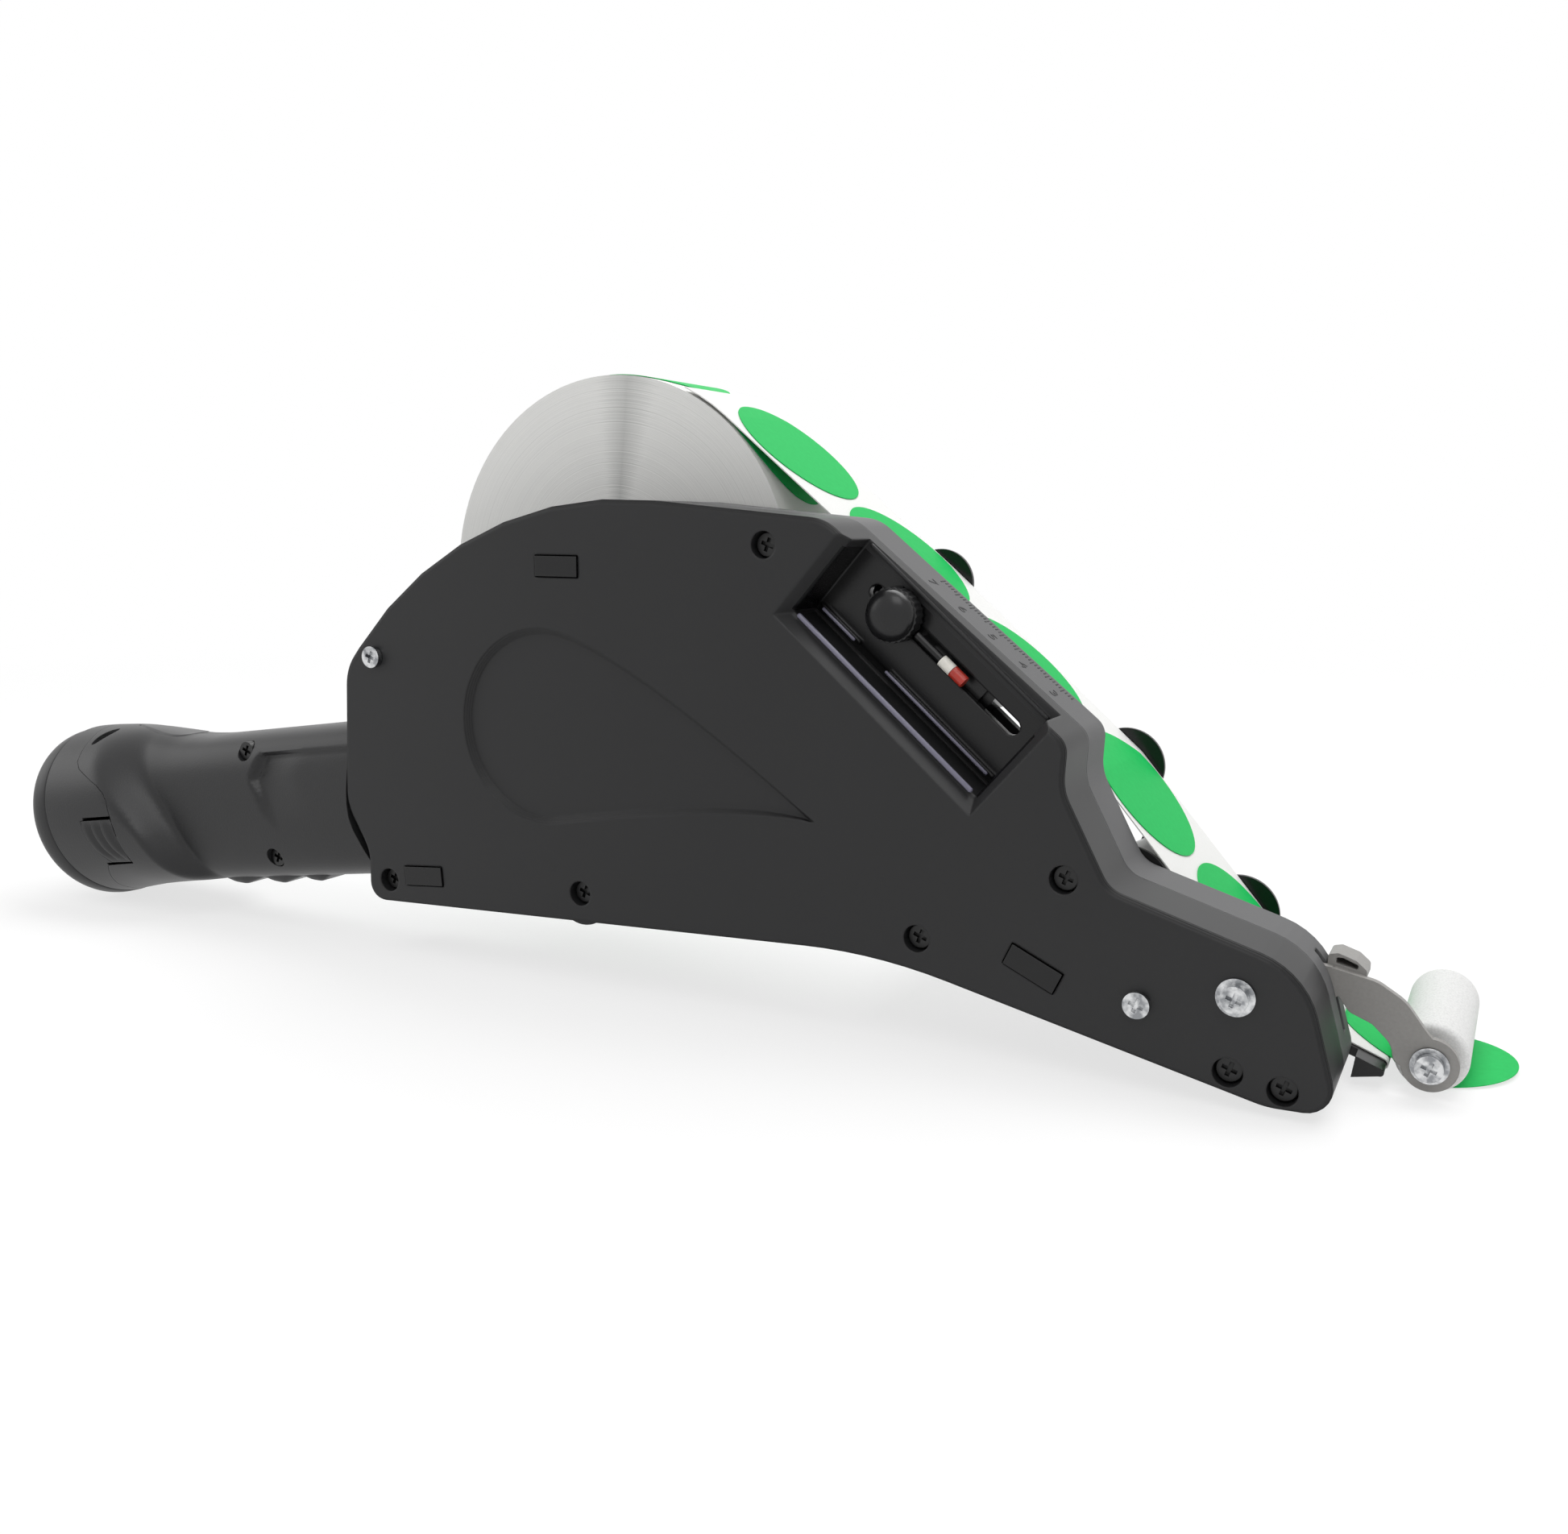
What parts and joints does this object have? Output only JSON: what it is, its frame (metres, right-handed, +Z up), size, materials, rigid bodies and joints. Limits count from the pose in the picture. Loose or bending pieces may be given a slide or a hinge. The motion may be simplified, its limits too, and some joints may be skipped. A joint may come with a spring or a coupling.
{
  "type": "electric label applicator",
  "caption": "Hand-held battery-powered applicator that feeds round labels from a roll, peels them at its nose and presses them on with a foam roller.",
  "frame": {"origin": "under the middle of the whole tool, on the surface it lies on", "axes": "+X from the battery end to the nose, +Y from the housing towards the label roll, +Z up"},
  "size_m": [0.4372, 0.092, 0.1642],
  "materials": {
    "cover_plastic": "satin dark charcoal",
    "frame_plastic": "fine-grained dark grey",
    "black_plastic": "satin black",
    "smooth_plastic": "smooth dark grey",
    "label_green": "coated green label face",
    "web_paper": "smooth white release paper",
    "core_card": "plain card",
    "bracket_metal": "grey satin",
    "bright_steel": "bright",
    "black_steel": "black oxide",
    "foam_white": "soft closed-cell foam",
    "roller_rubber": "matt black",
    "bronze": "sintered bronze",
    "gear_plastic": "natural acetal",
    "board_green": "solder mask",
    "sleeve_white": "milky",
    "tip_red": "red",
    "clear_plastic": "clear sheet"
  },
  "bodies": {
    "housing": {"near_cover": "cover_plastic", "main_frame": "frame_plastic", "snap_tabs": "black_plastic", "cover_screws": "black_steel", "bright_screws": "bright_steel", "roll_spindle": "bright_steel", "label_web": "web_paper", "web_labels": "label_green", "peeled_label": "label_green", "waste_liner": "web_paper", "guide_axles": "bright_steel", "peel_plate": "black_plastic", "web_holddown": "clear_plastic", "nose_bracket": "bracket_metal", "foam_axle": "bright_steel", "arm_screws": "bright_steel", "drive_bush": "bronze", "pinch_pin": "bright_steel", "gear_motor": "bright_steel", "motor_clamp": "black_plastic", "control_board": "board_green", "board_chips": "black_plastic", "board_posts": "sleeve_white", "grip_near": "frame_plastic", "grip_far": "frame_plastic", "grip_screws": "black_steel", "trigger_pin": "bright_steel", "trigger_switch": "black_plastic", "trigger_spring": "bright_steel", "battery_socket": "black_plastic"},
    "roll": {"label_roll": "web_paper", "roll_core": "core_card", "roll_hub": "black_plastic", "roll_keeper": "black_plastic", "roll_labels": "label_green"},
    "guide_top": {"guide_roller_top": "black_plastic"},
    "guide_mid": {"guide_roller_mid": "black_plastic"},
    "guide_low": {"guide_roller_low": "black_plastic"},
    "liner_guide": {"liner_roller": "black_plastic"},
    "foam": {"foam_roller": "foam_white", "foam_sleeve": "sleeve_white"},
    "drive": {"drive_roller": "roller_rubber", "drive_shaft": "bright_steel", "drive_gear": "gear_plastic"},
    "pinion": {"motor_pinion": "gear_plastic"},
    "yoke": {"pinch_yoke": "black_plastic"},
    "pinch": {"pinch_roller": "roller_rubber"},
    "carriage": {"sensor_carriage": "black_plastic", "sensor_fork": "black_plastic", "sensor_lead": "black_plastic", "sensor_sleeve": "sleeve_white", "sensor_tip": "tip_red"},
    "knob": {"sensor_knob": "black_plastic"},
    "trigger": {"trigger": "smooth_plastic"},
    "button": {"power_button": "smooth_plastic"},
    "battery": {"battery_pack": "frame_plastic", "battery_end_cap": "frame_plastic"},
    "latch_near": {"latch_near": "frame_plastic"},
    "latch_far": {"latch_far": "frame_plastic"}
  },
  "joints": [
    {"name": "roll_spin", "type": "hinge", "parent": "housing", "child": "roll", "pos_m": [-0.01629, 0.02142, 0.10894], "axis": [0, 1, 0], "continuous": true},
    {"name": "guide_top_spin", "type": "hinge", "parent": "housing", "child": "guide_top", "pos_m": [0.06397, 0.02142, 0.1079], "axis": [0, 1, 0], "continuous": true},
    {"name": "guide_mid_spin", "type": "hinge", "parent": "housing", "child": "guide_mid", "pos_m": [0.11857, 0.02142, 0.06045], "axis": [0, 1, 0], "continuous": true},
    {"name": "guide_low_spin", "type": "hinge", "parent": "housing", "child": "guide_low", "pos_m": [0.15024, 0.02142, 0.0236], "axis": [0, 1, 0], "continuous": true},
    {"name": "liner_guide_spin", "type": "hinge", "parent": "housing", "child": "liner_guide", "pos_m": [0.1314, 0.02142, 0.03822], "axis": [0, 1, 0], "continuous": true},
    {"name": "foam_spin", "type": "hinge", "parent": "housing", "child": "foam", "pos_m": [0.20101, 0.02142, 0.0084], "axis": [0, 1, 0], "continuous": true},
    {"name": "drive_spin", "type": "hinge", "parent": "housing", "child": "drive", "pos_m": [0.10301, 0.02142, 0.04004], "axis": [0, 1, 0], "continuous": true},
    {"name": "pinion_spin", "type": "hinge", "parent": "housing", "child": "pinion", "pos_m": [0.08627, -0.01018, 0.04239], "axis": [0, 1, 0], "continuous": true},
    {"name": "yoke_swing", "type": "hinge", "parent": "housing", "child": "yoke", "pos_m": [0.11889, 0.02142, 0.02409], "axis": [0, 1, 0], "range_deg": [-8, 0], "stiffness_Nm_per_rad": 0.3, "springref_deg": 5.73},
    {"name": "pinch_spin", "type": "hinge", "parent": "yoke", "child": "pinch", "pos_m": [0.10196, 0.02142, 0.02508], "axis": [0, 1, 0], "continuous": true},
    {"name": "sensor_slide", "type": "slide", "parent": "housing", "child": "carriage", "axis": [0.7559, 0, -0.6547], "range_m": [-0.005, 0.01]},
    {"name": "knob_turn", "type": "hinge", "parent": "carriage", "child": "knob", "pos_m": [0.07845, -0.02057, 0.10306], "axis": [0, -1, 0], "range_deg": [0, 180]},
    {"name": "trigger_pull", "type": "hinge", "parent": "housing", "child": "trigger", "pos_m": [-0.10791, -0.01802, 0.02291], "axis": [0, 1, 0], "range_deg": [0, 2.5], "stiffness_Nm_per_rad": 0.5, "springref_deg": -2.86},
    {"name": "button_press", "type": "slide", "parent": "housing", "child": "button", "axis": [-0.1392, 0, 0.9903], "range_m": [-0.001, 0], "stiffness_N_per_m": 400, "springref_m": 0.002},
    {"name": "battery_out", "type": "slide", "parent": "housing", "child": "battery", "axis": [-0.9903, 0, -0.1392], "range_m": [0, 0.06]},
    {"name": "latch_near_press", "type": "slide", "parent": "battery", "child": "latch_near", "axis": [0, 1, 0], "range_m": [0, 0.001], "stiffness_N_per_m": 600, "springref_m": -0.001},
    {"name": "latch_far_press", "type": "slide", "parent": "battery", "child": "latch_far", "axis": [0, -1, 0], "range_m": [0, 0.001], "stiffness_N_per_m": 600, "springref_m": -0.001}
  ],
  "couplings": [
    {"joint": "guide_top_spin", "follows": "roll_spin", "ratio": 9.8036},
    {"joint": "guide_mid_spin", "follows": "roll_spin", "ratio": 9.8036},
    {"joint": "guide_low_spin", "follows": "roll_spin", "ratio": 9.8036},
    {"joint": "liner_guide_spin", "follows": "roll_spin", "ratio": -9.8036},
    {"joint": "drive_spin", "follows": "roll_spin", "ratio": 6.1},
    {"joint": "pinion_spin", "follows": "roll_spin", "ratio": -9.9125},
    {"joint": "pinch_spin", "follows": "roll_spin", "ratio": -9.9818}
  ]
}
